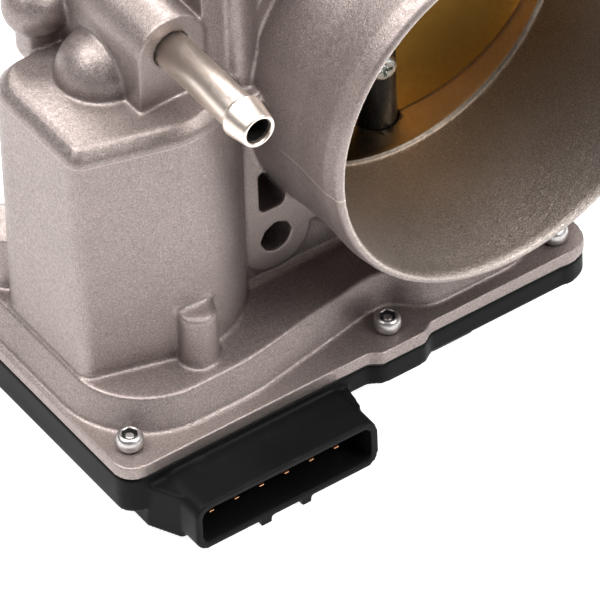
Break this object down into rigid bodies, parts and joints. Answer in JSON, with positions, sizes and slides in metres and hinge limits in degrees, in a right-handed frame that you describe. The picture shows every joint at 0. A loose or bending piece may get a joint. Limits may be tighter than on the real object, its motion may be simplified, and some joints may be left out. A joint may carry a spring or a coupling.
{
  "type": "throttle body",
  "caption": "Electronic throttle body: cast housing with round intake snout, motor tower, gear case with black cover and socket, brass disc on an upright shaft.",
  "frame": {"origin": "bore axis at the engine-side flange face", "axes": "+Z along the throttle shaft away from the gear case, +Y along the bore axis out of the engine side, -X towards the motor"},
  "size_m": [0.137, 0.086, 0.1273],
  "materials": {
    "cast_aluminium": "blasted casting",
    "black_plastic": "moulded, satin",
    "seal_rubber": "matte",
    "bright_screw": "bright nickel",
    "copper_pin": "tinned copper",
    "black_steel": "phosphated steel",
    "brass_plate": "satin",
    "bearing_steel": "ground",
    "bright_steel": "drawn",
    "gear_plastic": "natural nylon",
    "magnet": "sintered",
    "spring_steel": "drawn wire",
    "rotor_steel": "laminated",
    "carbon": "pressed carbon",
    "circuit_board": "solder resist",
    "nipple_steel": "bright nickel plate"
  },
  "bodies": {
    "housing": {"bearing_plug": "bright_steel", "connector_pins": "copper_pin", "coolant_pipe_front": "nipple_steel", "coolant_pipe_top": "nipple_steel", "cover_gasket": "seal_rubber", "cover_screws": "bright_screw", "gear_cover": "black_plastic", "idler_pin": "bearing_steel", "lower_bearing": "bearing_steel", "lower_seal": "seal_rubber", "motor_brushes": "carbon", "motor_bushes": "brass_plate", "motor_can": "bright_steel", "motor_end_plate": "gear_plastic", "motor_magnets": "magnet", "motor_screws": "bright_screw", "motor_spring": "spring_steel", "motor_terminals": "copper_pin", "return_spring": "spring_steel", "sensor_board": "circuit_board", "spring_bush": "gear_plastic", "stop_screw": "bearing_steel", "throttle_housing": "cast_aluminium", "upper_bearing": "bearing_steel", "upper_seal": "seal_rubber"},
    "throttle": {"throttle_shaft": "black_steel", "throttle_plate": "brass_plate", "plate_screws": "bright_screw", "sector_gear": "gear_plastic", "sensor_magnet": "magnet"},
    "idler": {"idler_gear": "gear_plastic"},
    "motor": {"motor_shaft": "bearing_steel", "motor_pinion": "brass_plate", "motor_rotor": "rotor_steel"}
  },
  "joints": [
    {"name": "throttle_turn", "type": "hinge", "parent": "housing", "child": "throttle", "pos_m": [0, -0.032, 0], "axis": [0, 0, -1], "range_deg": [-5.5, 78], "stiffness_Nm_per_rad": 0.12},
    {"name": "idler_turn", "type": "hinge", "parent": "housing", "child": "idler", "pos_m": [-0.03297, -0.03338, -0.058], "axis": [0, 0, -1], "range_deg": [-351.5, 25.25]},
    {"name": "motor_turn", "type": "hinge", "parent": "housing", "child": "motor", "pos_m": [-0.061, -0.04, -0.03], "axis": [0, 0, -1], "range_deg": [-124.25, 1755.5]}
  ],
  "couplings": [
    {"joint": "idler_turn", "follows": "throttle_turn", "ratio": -4.5},
    {"joint": "motor_turn", "follows": "throttle_turn", "ratio": 22.5}
  ]
}
